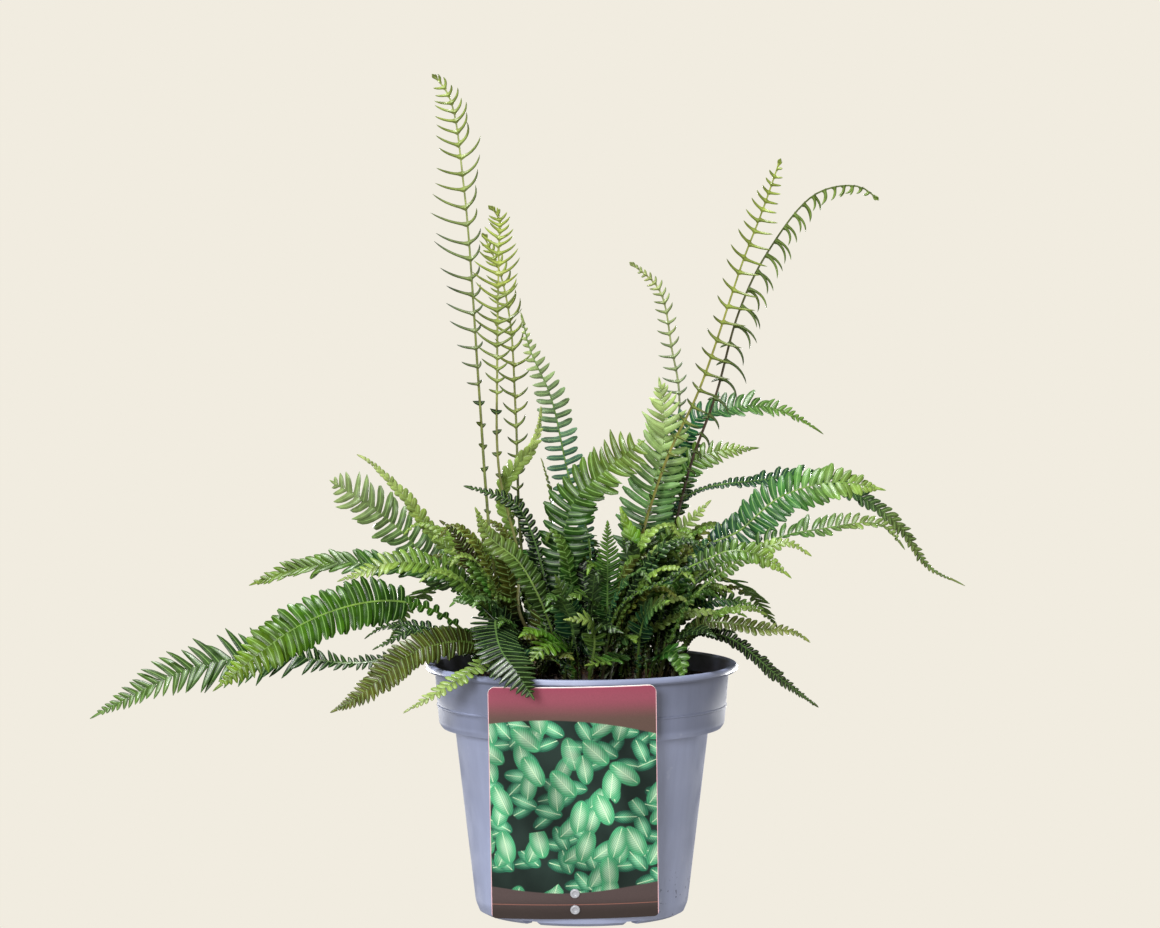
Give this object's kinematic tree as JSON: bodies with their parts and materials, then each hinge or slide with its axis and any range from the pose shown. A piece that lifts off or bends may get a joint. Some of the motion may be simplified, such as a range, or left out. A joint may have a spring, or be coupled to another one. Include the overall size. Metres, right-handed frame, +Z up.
{
  "type": "potted fern",
  "caption": "Evergreen hard fern with spreading leafy fronds and tall thin fertile fronds in a round nursery pot with a plain plant label",
  "frame": {"origin": "centre of the pot's foot, on the surface that it stands on", "axes": "+Z up out of the pot, -Y to the front where the label leans, +X to the right as seen from the front"},
  "size_m": [0.4766, 0.2605, 0.4587],
  "materials": {
    "pot_plastic": "satin",
    "compost": "matte",
    "card": "satin",
    "rivet_plastic": "satin",
    "rhizome": "matte",
    "leaf_fresh": "satin",
    "leaf_deep": "satin",
    "leaf_mid": "satin",
    "leaf_light": "satin",
    "leaf_olive": "satin",
    "leaf_dark": "satin",
    "leaf_brown": "satin",
    "leaf_blue": "satin",
    "leaf_pale": "satin"
  },
  "bodies": {
    "root": {"pot": "pot_plastic", "soil": "compost", "label": "card", "rivet_1": "rivet_plastic", "rivet_2": "rivet_plastic", "crown_1": "rhizome", "crown_2": "rhizome", "crown_3": "rhizome", "crown_4": "rhizome", "crown_5": "rhizome", "frond_left_1": "leaf_fresh", "frond_left_2": "leaf_deep", "frond_left_3": "leaf_mid", "frond_left_4": "leaf_light", "frond_left_5": "leaf_light", "frond_left_6": "leaf_pale", "frond_left_7": "leaf_brown", "frond_left_8": "leaf_olive", "frond_left_9": "leaf_dark", "frond_left_10": "leaf_dark", "frond_left_11": "leaf_pale", "frond_left_12": "leaf_dark", "frond_left_13": "leaf_dark", "frond_left_14": "leaf_pale", "frond_left_15": "leaf_light", "frond_mid_1": "leaf_blue", "frond_mid_2": "leaf_pale", "frond_mid_3": "leaf_mid", "frond_mid_4": "leaf_mid", "frond_mid_5": "leaf_deep", "frond_mid_6": "leaf_fresh", "frond_right_1": "leaf_blue", "frond_right_2": "leaf_mid", "frond_right_3": "leaf_fresh", "frond_right_4": "leaf_deep", "frond_right_5": "leaf_mid", "frond_right_6": "leaf_light", "frond_right_7": "leaf_fresh", "frond_right_8": "leaf_olive", "frond_right_9": "leaf_dark", "frond_right_10": "leaf_deep", "frond_right_11": "leaf_mid", "frond_right_12": "leaf_blue", "frond_right_13": "leaf_light", "frond_heart_1": "leaf_blue", "frond_heart_2": "leaf_fresh", "frond_heart_3": "leaf_light", "frond_heart_4": "leaf_blue", "frond_back_1": "leaf_mid", "frond_back_2": "leaf_deep", "frond_back_3": "leaf_mid", "frond_back_4": "leaf_fresh", "frond_back_5": "leaf_mid", "frond_back_6": "leaf_deep", "fertile_1": "leaf_dark", "fertile_2": "leaf_olive", "fertile_3": "leaf_olive", "fertile_4": "leaf_pale", "fertile_5": "leaf_olive", "fertile_6": "leaf_dark"}
  },
  "joints": []
}
